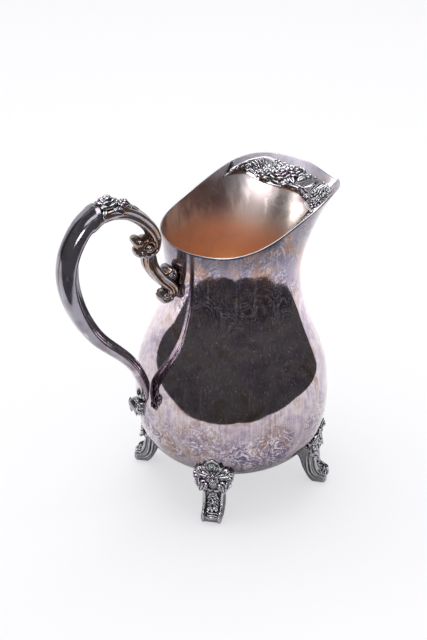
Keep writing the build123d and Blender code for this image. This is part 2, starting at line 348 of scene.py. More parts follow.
    def slab(self, lows, highs, top, bottom, rows, dome=0.5, cols=24):
        """A low cushion between two edges, functions of y giving x."""
        y = np.linspace(rows[0], rows[1], 60)
        t = np.linspace(-1, 1, cols)
        lo, hi = lows(y)[:, None], highs(y)[:, None]
        x = (lo + hi) / 2 + (hi - lo) / 2 * t[None]
        yy = np.repeat(y[:, None], cols, 1)
        ends = np.clip(np.minimum(np.linspace(0, 30, 60), np.linspace(30, 0, 60)), 0, 1)[:, None]
        edge = (1 - np.abs(t[None]) ** 4) * dome + (1 - dome) * (np.abs(t[None]) < 0.999)
        up = np.stack([x, yy, bottom + (top - bottom) * edge * ends], -1)
        down = np.stack([x, yy, np.full_like(x, bottom)], -1)
        both = np.concatenate([up, down[:, ::-1]], 1)
        self.add(both.reshape(-1, 3), capped(*both.shape[:2], turn=-1))

    def fuse(self, name, voxel, rounds, material, centre=AXIS):
        """One closed skin round all the shells, slightly smoothed."""
        ob = make_object(name + "_raw", np.concatenate(self.verts), self.faces, [material], centre=centre)
        mod = ob.modifiers.new("skin", "REMESH")
        mod.mode = "VOXEL"
        mod.voxel_size = voxel * MM
        soft = ob.modifiers.new("soft", "SMOOTH")
        soft.factor = 0.5
        soft.iterations = rounds
        graph = bpy.context.evaluated_depsgraph_get()
        mesh = bpy.data.meshes.new_from_object(ob.evaluated_get(graph))
        mesh.name = name
        old = ob.data
        bpy.data.objects.remove(ob)
        bpy.data.meshes.remove(old)
        mesh.shade_smooth()
        return mesh


def coords(mesh):
    p = np.empty(len(mesh.vertices) * 3)
    mesh.vertices.foreach_get("co", p)
    return p.reshape(-1, 3) / MM


def set_coords(mesh, p):
    mesh.vertices.foreach_set("co", (p * MM).ravel())
    mesh.update()


def stand_for(ob, node):
    """Make an object ride the body and take the place of a CAD node."""
    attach(ob, "root")
    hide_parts(node)


def place_mesh(mesh, node, matrix=None):
    ob = bpy.data.objects.new(node + "_detail", mesh)
    bpy.context.scene.collection.objects.link(ob)
    if matrix is not None:
        ob.matrix_world = matrix
    stand_for(ob, node)


def clear_of_wall(mesh):
    """Points inside the vessel's outer surface are moved out to it."""
    p = coords(mesh) - AXIS
    angle, r, z = np.arctan2(p[:, 1], p[:, 0]), np.hypot(p[:, 0], p[:, 1]), p[:, 2]
    least = radius(angle, z) + CLEARANCE
    k = np.where(r < least, least / r, 1.0)
    set_coords(mesh, np.stack([p[:, 0] * k, p[:, 1] * k, z], -1) + AXIS)


class Half:
    """Draws on one half of a relief: m is 1 on the side of +x and -1 for its mirror image."""

    def __init__(self, work, m):
        self.work, self.m = work, m

    def way(self, turn):
        return turn if self.m > 0 else 180 - turn

    def tube(self, path, *size, **rest):
        self.work.tube([(self.m * x, y, h) for x, y, h in path], *size, **rest)

    def leaf(self, x, y, h, turn, *size, bend=0.0, **rest):
        self.work.leaf(self.m * x, y, h, self.way(turn), *size, bend=self.m * bend, **rest)

    def acanthus(self, x, y, h, turn, *size, bend=0.0):
        self.work.acanthus(self.m * x, y, h, self.way(turn), *size, bend=self.m * bend)

    def curl(self, x, y, h, start, turns, *size, **rest):
        self.work.curl(self.m * x, y, h, self.way(start), self.m * turns, *size, **rest)

    def bead(self, x, *rest):
        self.work.bead(self.m * x, *rest)

    def rose(self, x, *rest):
        self.work.rose(self.m * x, *rest)

    def daisy(self, x, *rest, **more):
        self.work.daisy(self.m * x, *rest, **more)


# ---- materials -------------------------------------------------------------------------
class Value:
    """A node's output that takes part in sums."""

    def __init__(self, tree, socket):
        self.tree, self.socket = tree, socket

    def __add__(self, other):
        return self.tree.math("ADD", self, other)

    def __sub__(self, other):
        return self.tree.math("SUBTRACT", self, other)

    def __rsub__(self, other):
        return self.tree.math("SUBTRACT", other, self)

    def __mul__(self, other):
        return self.tree.math("MULTIPLY", self, other)


class Tree:
    """A node tree, with short ways to add what it needs."""

    def __init__(self, tree):
        self.nodes, self.links = tree.nodes, tree.links

    def plug(self, value, socket):
        if isinstance(value, Value):
            self.links.new(value.socket, socket)
        elif isinstance(value, tuple) and len(value) == 3 and socket.type == "RGBA":
            socket.default_value = (*value, 1)
        else:
            socket.default_value = value

    def add(self, kind, output=0, **inputs):
        """New node; an input is named with _ for its spaces, a setting of the node in capitals."""
        node = self.nodes.new("ShaderNode" + kind)
        for key, value in inputs.items():
            if key.isupper():
                setattr(node, key.lower(), value)
            else:
                self.plug(value, node.inputs[key.replace("_", " ")])
        return None if output is None else Value(self, node.outputs[output])

    def coord(self, scale=(1, 1, 1)):
        source = self.add("TexCoord", "Object")
        return source if scale == (1, 1, 1) else self.add("Mapping", Vector=source, Scale=scale)

    def along(self, axis):
        """Position along an axis in mm: Z is the height above the table."""
        return self.add("SeparateXYZ", axis, Vector=self.add("NewGeometry", "Position")) * 1000.0

    def noise(self, vector, scale, detail=3.0, rough=0.55, warp=0.0):
        return self.add("TexNoise", "Fac", Vector=vector, Scale=scale, Detail=detail, Roughness=rough,
                        Distortion=warp)

    def math(self, kind, a, b=0.0):
        node = self.nodes.new("ShaderNodeMath")
        node.operation = kind
        self.plug(a, node.inputs[0])
        self.plug(b, node.inputs[1])
        return Value(self, node.outputs[0])

    def span(self, value, low, high, to_low=0.0, to_high=1.0):
        return self.add("MapRange", INTERPOLATION_TYPE="SMOOTHSTEP", Value=value, From_Min=low,
                        From_Max=high, To_Min=to_low, To_Max=to_high)

    def lines(self, value, width):
        """Thin lines where a noise passes its middle value."""
        return self.span(self.math("ABSOLUTE", value - 0.5), 0.0, width, 1.0, 0.0)

    def ramp(self, value, *stops):
        """Colours, or greys given as one number, at points of a value."""
        node = self.nodes.new("ShaderNodeValToRGB")
        elements = node.color_ramp.elements
        while len(elements) < len(stops):
            elements.new(0.5)
        for element, (at, *colour) in zip(elements, stops):
            element.position = at
            element.color = (*(colour * 3)[:3], 1)
        self.plug(value, node.inputs[0])
        return Value(self, node.outputs[0])

    def mix(self, share, a, b, kind="MIX"):
        node = self.nodes.new("ShaderNodeMix")
        node.data_type = "RGBA"
        node.blend_type = kind
        for key, value in (("Factor", share), ("A", a), ("B", b)):
            self.plug((*value, 1) if isinstance(value, tuple) else value, node.inputs[key])
        return Value(self, node.outputs["Result"])

    def layers(self, colour, *coats):
        """Coats of colour, each with its mask."""
        for mask, paint in coats:
            colour = self.mix(mask, colour, paint)
        return colour


class Finish(Tree):
    """A node material."""

    def __init__(self, name):
        self.material = bpy.data.materials.new(name)
        self.material.use_nodes = True
        super().__init__(self.material.node_tree)
        self.bsdf = self.nodes["Principled BSDF"]

    def finish(self, colour, rough, metal, bump=None, strength=0.0, depth=0.0):
        for key, value in (("Base Color", colour), ("Metallic", metal), ("Roughness", rough)):
            self.plug(value, self.bsdf.inputs[key])
        if bump:
            bumped = self.add("Bump", Strength=strength, Distance=depth, Height=bump)
            self.plug(bumped, self.bsdf.inputs["Normal"])
        return self.material


def silver_outside():
    """Silver plate with rainbow tarnish: lavender and pink, crinkled blue-violet lines, tan clouds."""
    f = Finish("silver_outside")
    at, height = f.coord(), f.along("Z")
    cloud = f.noise(at, 42, 4, 0.6, 0.9)
    colour = f.ramp(cloud, (0.30, 0.30, 0.24, 0.31), (0.43, 0.41, 0.34, 0.40), (0.52, 0.53, 0.46, 0.49),
                    (0.60, 0.46, 0.37, 0.37), (0.70, 0.34, 0.24, 0.20))
    # contour lines of two warped noises, strong on the lower belly and round the neck
    grain = f.noise(at, 46, 4, 0.62, 1.7)
    fine = f.noise(at, 125, 3, 0.6, 1.6)
    zone = f.math("MAXIMUM", f.span(height, 95.0, 62.0, 0.12, 1.0), f.span(height, 138.0, 165.0))
    where = f.span(f.noise(at, 26, 2, 0.5, 0.4), 0.36, 0.56) * zone
    ply = f.math("FRACT", grain * 8.0)
    crinkle = f.lines(ply, 0.30) * where
    hair = (f.lines(f.math("FRACT", fine * 6.0), 0.24)
            * (f.span(f.noise(at, 37, 2), 0.40, 0.58) * (zone + 0.12)))
    neck, rim_band = f.span(height, 163.0, 190.0), f.span(height, 187.0, 206.0)
    streaks = f.noise(f.coord((1, 1, 0.022)), 640, 3, 0.6)
    colour = f.layers(
        colour,
        (f.span(f.noise(at, 19, 3, 0.6, 1.1), 0.50, 0.58) * zone * 0.5, (0.235, 0.17, 0.23)),
        (f.span(ply, 0.72, 0.95) * where * 0.85, (0.92, 0.87, 0.88)),
        (crinkle * 0.88, (0.085, 0.07, 0.17)),
        (hair * 0.70, (0.13, 0.09, 0.17)),
        (f.span(f.noise(at, 48, 4, 0.65, 1.4), 0.50, 0.68) * (zone * 0.7), (0.31, 0.20, 0.16)),
        (neck * 0.55, f.mix(f.span(cloud, 0.45, 0.60), (0.27, 0.25, 0.34), (0.46, 0.26, 0.18))),
        (f.span(streaks, 0.54, 0.66) * (0.45 - zone * 0.25), (0.24, 0.19, 0.22)),
        (f.span(streaks, 0.46, 0.38) * (0.35 - zone * 0.25), (0.66, 0.60, 0.64)))
    # brightness by height, painted shade and light: darker low on the belly and just under the rim, lighter
    # round the shoulder
    level = f.ramp(height * (1 / 250.0), (0.10, 0.70), (0.30, 0.80), (0.46, 1.05), (0.60, 1.30), (0.74, 1.0),
                   (0.79, 0.62))
    colour = f.mix(1.0, colour, level, "MULTIPLY")
    specks = f.span(f.noise(at, 1300, 1, 0.4), 0.745, 0.77)
    colour = f.mix(specks, colour, (0.36, 0.33, 0.36))
    rough = f.span(f.noise(at, 30, 3), 0.35, 0.7, 0.03, 0.07) + (crinkle + hair) * 0.05 + rim_band * 0.10
    bump = grain + streaks * 0.12 - crinkle * 0.25
    dull = specks * 0.7 + rim_band * f.span(cloud, 0.38, 0.62, 0.16, 0.46)
    metal = 1.0 - (dull + f.span(streaks, 0.52, 0.70, 0.0, 0.10))
    return f.finish(colour, rough, metal, bump, strength=0.05, depth=0.0003)


def silver_inside():
    """Inside of the vessel, warm where the plate is worn thin below, pale towards the rim."""
    f = Finish("silver_inside")
    at, height = f.coord(), f.along("Z")
    level = height * (1 / 260.0) + (f.noise(at, 28, 3, 0.6, 0.6) - 0.5) * 0.10
    turned = f.noise(f.coord((0.03, 0.03, 1)), 900, 2, 0.6)
    spout = f.span(height, 213.0, 223.0)
    veil = f.span(f.noise(f.coord((1, 1, 0.35)), 58, 4, 0.62, 0.9), 0.42, 0.58) * f.span(height, 180.0, 202.0)
    # browner and darker high up inside, on the handle's side
    handle_side_brown = (f.span(f.noise(f.coord((1, 1, 0.5)), 44, 4, 0.62, 0.7), 0.36, 0.56, 0.25, 1.0)
             * (f.span(f.along("X") - float(AXIS[0]), 36.0, 12.0) * f.span(height, 186.0, 203.0)))
    colour = f.layers(
        f.ramp(level, (0.30, 0.96, 0.63, 0.41), (0.60, 0.97, 0.66, 0.45), (0.70, 0.93, 0.74, 0.62),
               (0.79, 0.84, 0.77, 0.75), (0.88, 0.56, 0.54, 0.60)),
        (f.span(f.noise(at, 55, 4, 0.6, 0.8), 0.52, 0.72, 0.0, 0.35), (0.74, 0.56, 0.46)),
        (f.span(f.noise(at, 420, 1, 0.4), 0.755, 0.79) * 0.6, (0.24, 0.17, 0.14)),
        (veil * 0.72, (0.34, 0.25, 0.26)),
        (handle_side_brown * 0.8, (0.26, 0.185, 0.19)),
        (spout * 0.6, (0.40, 0.38, 0.46)))
    rough = f.span(height, 160.0, 200.0, 0.40, 0.31) + turned * 0.06 + spout * 0.16
    metal = 1.0 - (f.span(height, 185.0, 165.0, 0.0, 0.16) + spout * 0.30)
    return f.finish(colour, rough, metal, turned * 0.4 + f.noise(at, 70, 2, 0.5), strength=0.10, depth=0.0004)


def cast_metal():
    """Dark cast white metal: black in the recesses, with a painted highlight along the high edges."""
    f = Finish("cast_metal")
    at, edge = f.coord(), f.add("NewGeometry", "Pointiness")
    # by pointiness: near black in the recesses, near white along the high edges, a painted highlight
    colour = f.ramp(edge, (0.41, 0.006, 0.005, 0.006), (0.470, 0.035, 0.031, 0.034),
                    (0.50, 0.20, 0.195, 0.205), (0.530, 0.56, 0.55, 0.58), (0.575, 0.92, 0.91, 0.94))
    tint = f.ramp(f.noise(at, 90, 3, 0.6, 0.6), (0.34, 0.90, 0.95, 0.92), (0.50, 0.97, 0.96, 0.97),
                  (0.62, 0.96, 0.88, 1.0), (0.74, 1.0, 0.86, 0.86))
    grit = f.noise(at, 1500, 3, 0.6)
    return f.finish(f.mix(1.0, colour, tint, "MULTIPLY"), f.span(edge, 0.47, 0.53, 0.34, 0.12) + grit * 0.08,
                    1.0, grit + f.noise(at, 500, 2), strength=0.22, depth=0.00015)


def polished(name, base, tarnish, low=None):
    """Polished dark silver with thin brown tarnish, duller and lavender lower down if asked."""
    f = Finish(name)
    at, edge = f.coord(), f.add("NewGeometry", "Pointiness")
    lines = f.lines(f.noise(at, 160, 3, 0.6, 2.0), 0.03)
    scratch = f.span(f.noise(f.coord((1, 1, 0.05)), 1100, 2), 0.62, 0.72)
    rough = f.span(f.noise(at, 120, 3), 0.3, 0.7, 0.07, 0.15) + scratch * 0.06
    # lighter along the convex edges, a painted highlight; dark brown tarnish in the hollows
    colour = f.layers(f.mix(f.span(f.noise(at, 70, 3, 0.6, 0.8), 0.44, 0.60, 0.0, 0.85), base, tarnish),
                      (f.span(edge, 0.50, 0.56, 0.0, 0.7), (0.62, 0.60, 0.63)),
                      (f.span(edge, 0.495, 0.43, 0.0, 0.9), (0.06, 0.045, 0.04)))
    if low:
        share = f.span(f.along("Z"), *low)
        mottle = f.mix(f.span(f.noise(at, 34, 4, 0.65, 1.2), 0.42, 0.60),
                       (0.50, 0.45, 0.49), (0.22, 0.17, 0.19))
        colour = f.layers(colour, (share * 0.85, mottle), (share * lines * 0.6, (0.30, 0.26, 0.38)))
        rough = rough + share * 0.10
    return f.finish(f.mix(lines * 0.2, colour, (0.30, 0.26, 0.30)), rough, 0.9,
                    f.noise(at, 90, 2) + scratch * 0.2, strength=0.06, depth=0.0004)


outside = silver_outside()
inside = silver_inside()
cast = cast_metal()
# the rim's rounded edge and the guard plate, darker than the plate round them: a painted shade in place of
# the bright band these edges would mirror
lip = polished("rim_edge", (0.13, 0.12, 0.14), (0.10, 0.07, 0.06))
bright = polished("scroll_silver", (0.30, 0.28, 0.30), (0.27, 0.15, 0.08))
dark = polished("grip_silver", (0.26, 0.25, 0.29), (0.20, 0.17, 0.20), low=(150.0, 118.0))


# ---- body shell ---------------------------------------------------------------------------
def build_body():
    cols = 260
    u = 2 * math.pi * np.arange(cols) / cols
    angle = u - 0.35 * np.sin(u)                       # closer columns at the spout
    low = [FLOOR_Z]
    while low[-1] < FLARE_START - 1.0:                 # steps of equal length along the profile
        slope = float(profile(low[-1] + 0.1) - profile(low[-1])) / 0.1
        low.append(low[-1] + 1.9 / math.hypot(1, slope))
    low = np.array(low)
    low = FLOOR_Z + (low - FLOOR_Z) * (FLARE_START - FLOOR_Z) / (low[-1] - FLOOR_Z)
    share = np.linspace(0, 1, 56)[1:]
    top = rim_height(folded(angle)) - 0.55
    z = np.concatenate([np.repeat(low[:, None], cols, 1),
                        FLARE_START + (top - FLARE_START) * share[:, None]])
    a = np.repeat(angle[None], len(z), 0)
    outer = skin(a, z)
    inner = skin(a, z, -WALL + 0 * z)
    inner[..., 2] = np.maximum(inner[..., 2], FLOOR_Z + 1.4)
    up = outer[-1] - outer[-2]
    up /= np.linalg.norm(up, axis=-1, keepdims=True)
    mid, half = (outer[-1] + inner[-1]) / 2, (outer[-1] - inner[-1]) / 2
    edge = [mid + half * math.cos(t) + up * math.sin(t) * WALL / 2
            for t in np.linspace(0, math.pi, 7)[1:-1]]

    def disc(ring, level):
        return [np.concatenate([ring[:, :2] * s, np.full((cols, 1), level)], 1)
                for s in (0.98, 0.9, 0.75, 0.55, 0.35, 0.15)]
    rows = disc(outer[0], FLOOR_Z)[::-1] + list(outer) + edge + list(inner[::-1])
    rows += disc(inner[0], FLOOR_Z + 1.4)
    verts = np.concatenate(rows)
    faces = ring_faces(len(rows), cols)
    n = len(verts)
    verts = np.concatenate([verts, [[0, 0, FLOOR_Z], [0, 0, FLOOR_Z + 1.4]]])
    for c in range(cols):
        faces.append([n, (c + 1) % cols, c])
        e = n - cols
        faces.append([n + 1, e + c, e + (c + 1) % cols])
    ob = make_object("body", verts, faces, [outside, inside, lip], sharp=50)
    split = (6 + len(outer) + 2) * cols
    first = np.array([min(f) for f in faces])
    # the rounded lip faces take the dark rim finish, a painted shade
    on_lip = (first >= (5 + len(outer)) * cols) & (first < (11 + len(outer)) * cols)
    ob.data.polygons.foreach_set("material_index", np.where(on_lip, 2, first >= split).astype(int))
    stand_for(ob, "body_shell")


# ---- ice guard casting -----------------------------------------------------------------
def both_sides(points):
    full = [(x, -y, z) for x, y, z in reversed(points[1:])] + points
    index = range(1 - len(points), len(points))
    return [smooth(list(zip(index, [p[k] for p in full]))) for k in range(3)]


guard_in, guard_out = both_sides(GUARD_INNER), both_sides(GUARD_OUTER)
strip_at = np.linspace(-7, 7, 1401)
strip_in = np.stack([f(strip_at) for f in guard_in], -1)
strip_out = np.stack([f(strip_at) for f in guard_out], -1)
strip_mid = (strip_in + strip_out) / 2
strip_along = lengths(strip_mid)
strip_along -= strip_along[len(strip_at) // 2]
strip_width = np.linalg.norm(strip_out - strip_in, axis=1)
STRIP_END = strip_along[-1]


def guard_width(a):
    return np.interp(a, strip_along, strip_width)


def guard_place(p):
    """(mm along the guard from its middle, mm across from the inner edge, height) to the row frame."""
    a, s, h = p[:, 0], p[:, 1], p[:, 2]
    inner, outer = at_length(a, strip_along, strip_in), at_length(a, strip_along, strip_out)
    width = guard_width(a)[:, None]
    across = (outer - inner) / width
    up = np.array([0, 0, 1.0]) - across * across[:, 2:]
    up /= np.linalg.norm(up, axis=1, keepdims=True)
    return inner + across * s[:, None] + up * (h[:, None] + PLATE_THICK)


def keep_inside(p, gap=0.06):
    """Points pushed back inside the vessel's wall."""
    angle, r, z = np.arctan2(p[:, 1], p[:, 0]), np.hypot(p[:, 0], p[:, 1]), p[:, 2]
    up = (radius(angle, z + 0.2) - radius(angle, z - 0.2)) / 0.4
    limit = radius(angle, z) - (WALL + gap) * np.sqrt(1 + up * up)
    over = (z < rim_height(folded(angle)) + 0.3) & (r > limit)
    k = np.where(over, limit / r, 1.0)
    return np.stack([p[:, 0] * k, p[:, 1] * k, z], -1)


def build_guard():
    work = Relief(guard_place)
    ends = [-STRIP_END + 1.5, STRIP_END - 1.5]
    # the ground under the ornament, as a strip along the guard: x and y change places
    ground = Relief(lambda p: guard_place(p[:, [1, 0, 2]]))
    ground.slab(lambda y: np.full_like(y, 0.7), lambda y: guard_width(y) + 0.2, 1.1, -0.6, ends,
                dome=1.0, cols=16)
    work.merge(ground)
    # a plain leaf in the middle with a folded edge
    work.leaf(0.6, 3.6, 1.0, 88, 14.5, 8.4, 2.8, tip=0.8, vein=0.22)
    for half in (Half(work, -1), Half(work, 1)):
        # smooth scroll bar along the inner edge, ending in a curl with a bead
        half.tube([(1.2, 1.6, 1.5), (5, 0.9, 1.8), (9.5, 1.0, 1.8), (12.6, 2.0, 1.6)],
                  [2.2, 3.0, 3.2, 2.4], [2.2, 2.8, 2.8, 2.0], n=26)
        half.tube([(0.6, 4.4, 1.3), (4.2, 4.0, 1.5), (8.5, 4.4, 1.5), (11.2, 6.0, 1.4)],
                  [0.9, 1.7, 1.6, 0.8], [1.2, 1.8, 1.8, 1.2], n=22)
        half.curl(15.2, 2.6, 1.5, 250, -1.15, 2.9, 1.0, 1.7, 2.4, eye=1.25)
        if half.m < 0:
            # shell of curved flutes fanning out from the curl
            for turn, reach in ((150, 11.5), (134, 13.0), (118, 14.2), (102, 15.4), (86, 15.8), (70, 15.0),
                                (54, 13.0), (40, 10.5)):
                d, _ = heading(turn)
                half.leaf(15.0 + 2.4 * d[0], 3.0 + 2.4 * d[1], 1.2, turn, reach, 2.05, 2.9, bend=-0.28,
                          tip=0.9, vein=-0.15, shape=FLUTE)
        else:
            # on the other half the blossoms run up to the middle
            half.rose(17.4, 16.4, 2.0, 5.8, 4.2)
            half.daisy(10.4, 16.2, 1.6, 3.6, 5, 2.6, turn=15)
            half.daisy(25.2, 18.8, 1.2, 3.4, 5, 2.2, turn=40)
            for x, y, turn, length, width, bend in ((9.4, 9.0, 74, 7.6, 4.4, 0.2),
                    (10.2, 6.0, 24, 9.6, 4.2, 0.35), (13.4, 4.8, 22, 8.6, 4.2, 0.35)):
                half.leaf(x, y, 1.4, turn, length, width, 3.0, bend=bend, tip=0.8, vein=0.5)
        # pointed leaf inside the fan's foot, and small beads along the fan's edge
        half.leaf(18.5, 1.6, 1.2, 20, 9.5, 3.4, 2.2, bend=0.10, vein=0.5)
        half.leaf(19.5, 3.6, 1.2, 38, 7.5, 2.8, 2.2, bend=0.18, vein=0.5)
        for k in range(6):
            half.bead(4.6 + 4.4 * k, 20.6 - 0.12 * (k - 2) ** 2, 1.4, 0.95)
        # blossoms
        half.rose(22.6, 9.6, 2.2, 6.2, 4.4)
        half.daisy(29.3, 18.6, 1.2, 3.4, 6, 1.8, turn=10)
        half.daisy(34.6, 18.4, 1.2, 2.9, 6, 1.7, turn=35)
        half.rose(31.4, 5.6, 1.8, 5.2, 3.6)
        half.daisy(37.6, 4.0, 1.2, 3.5, 7, 2.0, turn=5)
        half.daisy(30.2, 12.2, 1.3, 3.3, 6, 2.0, turn=20)
        # leaves round the blossoms
        for x, y, turn, length, width, bend in ((26.5, 6.0, -38, 6.0, 2.6, 0.3),
                (26.0, 14.2, 62, 7.0, 3.0, 0.2), (18.6, 14.6, 118, 5.6, 2.8, -0.2),
                (34.6, 8.6, 40, 7.0, 3.0, -0.2), (27.6, 2.6, -8, 6.2, 2.4, 0.1),
                (40.6, 2.6, 4, 6.6, 2.6, 0.15), (33.8, 13.6, 76, 6.4, 2.8, 0.2),
                (24.2, 16.2, 84, 6.0, 2.8, -0.1)):
            half.leaf(x, y, 1.2, turn, length, width, 2.2, bend=bend, tip=0.3, vein=0.5)
        for x, y, r in ((27.4, 9.4, 1.0), (34.2, 2.0, 1.1), (33.6, 10.4, 0.9), (37.6, 9.0, 0.95),
                        (28.2, 15.2, 0.9), (41.6, 6.2, 1.0), (24.8, 3.4, 1.0)):
            half.bead(x, y, 1.6, r)
        # broad fluted leaf running up to the rim
        half.acanthus(34.6, 10.0, 1.0, 24, 11.0, 8.0, 1.9, bend=-0.3)
        for k in range(4):
            half.leaf(37.5 + 1.5 * k, 9.2 - 0.6 * k, 1.2, 50 - 9 * k, 9.4 - 0.7 * k, 2.1, 2.2,
                      bend=-0.12, vein=-0.1)
        # open scroll, then a run of beads down to a small leaf at the end
        half.curl(48.6, 4.4, 1.3, 30, 1.3, 3.2, 1.0, 1.5, 2.3, eye=1.1)
        half.tube([(51.0, 8.6, 1.0), (54.8, 8.2, 1.0), (59.2, 6.2, 0.9), (63.5, 4.2, 0.8)],
                  [0.8, 1.7, 1.6, 0.7], [1.2, 1.8, 1.6, 1.0], n=24)
        for x, y, r in ((52.6, 4.2, 2.0), (56.2, 3.3, 1.95), (59.6, 2.3, 1.8), (62.7, 1.5, 1.55)):
            half.bead(x, y, 1.6, r)
        half.leaf(63.6, 1.3, 1.1, -1, 7.2, 2.6, 2.1, vein=0.35)
    mesh = work.fuse("ice_guard_casting", 0.30, 1, cast)
    p = coords(mesh) - AXIS
    set_coords(mesh, keep_inside(p) + AXIS)
    place_mesh(mesh, "ice_guard_casting")


# ---- feet ----------------------------------------------------------------------------------
def pad_place(p):
    """(mm sideways, height, mm out) to the foot's own frame, its direction along +X.

    Above, the pad lies on the body; lower down it stands off it, flush with the leg's front."""
    x, z, h = p[:, 0], p[:, 1], p[:, 2]
    on_body = skin(x / profile(z), z, h)
    r = APRON + h
    apron = np.stack([r * np.cos(x / APRON), r * np.sin(x / APRON), z], -1)
    w = eased(z, 39.0, 45.5)[:, None]
    return on_body * w + apron * (1 - w)


LEG_FRONT = [(64.6, 26.5), (64.4, 22.0), (64.9, 18.0), (66.0, 13.2), (68.0, 10.2), (70.6, 9.2),
             (73.0, 8.2), (74.3, 5.4)]
leg_front_path = curve(LEG_FRONT, 200)
leg_front_along = lengths(leg_front_path)


def leg_place(p):
    """(mm sideways, mm down the front of the leg, height) to the foot's own frame."""
    x, v, h = p[:, 0], p[:, 1], p[:, 2]
    at = at_length(v, leg_front_along, leg_front_path)
    d = at_length(v, leg_front_along, np.gradient(leg_front_path, axis=0))
    d /= np.linalg.norm(d, axis=1, keepdims=True)
    out = np.stack([-d[:, 1], d[:, 0]], -1)
    q = at + out * h[:, None]
    return np.stack([q[:, 0], x, q[:, 1]], -1)


def leg_core(work):
    """The leg's own bar: its side outline with rounded edges and a dished front."""
    line = np.concatenate([curve(LEG_BACK, 40), curve(LEG_TOE, 80)[:-1]])
    tangent = np.roll(line, -1, 0) - np.roll(line, 1, 0)
    normal = np.stack([-tangent[:, 1], tangent[:, 0]], -1)
    normal /= np.linalg.norm(normal, axis=1, keepdims=True)
    area = 0.5 * np.sum(line[:, 0] * np.roll(line[:, 1], -1) - np.roll(line[:, 0], -1) * line[:, 1])
    normal *= np.sign(area)                            # into the leg
    front = np.zeros(len(line))
    front[42:112] = 1.0
    half = LEG_WIDTH / 2
    rows = []
    ys = np.linspace(-1, 1, 25)
    for t in ys:
        edge = max(0.0, abs(t) - 0.78) / 0.22
        inset = 1.9 * (1 - math.sqrt(max(0.0, 1 - edge * edge)))
        dish = 1.0 * max(0.0, 1 - (abs(t) / 0.72) ** 4)
        ring = line + normal * (inset + dish * front)[:, None]
        y = np.full(len(line), t * half)
        z = np.clip(ring[:, 1], 0, None)
        low = np.clip(SOLE_ROUND - z, 0, SOLE_ROUND)
        limit = half - (SOLE_ROUND - np.sqrt(np.clip(SOLE_ROUND ** 2 - low ** 2, 0, None)))
        rows.append(np.stack([ring[:, 0], np.clip(y, -limit, limit), z], -1))
    work.add(np.concatenate(rows), capped(len(ys), len(line)))


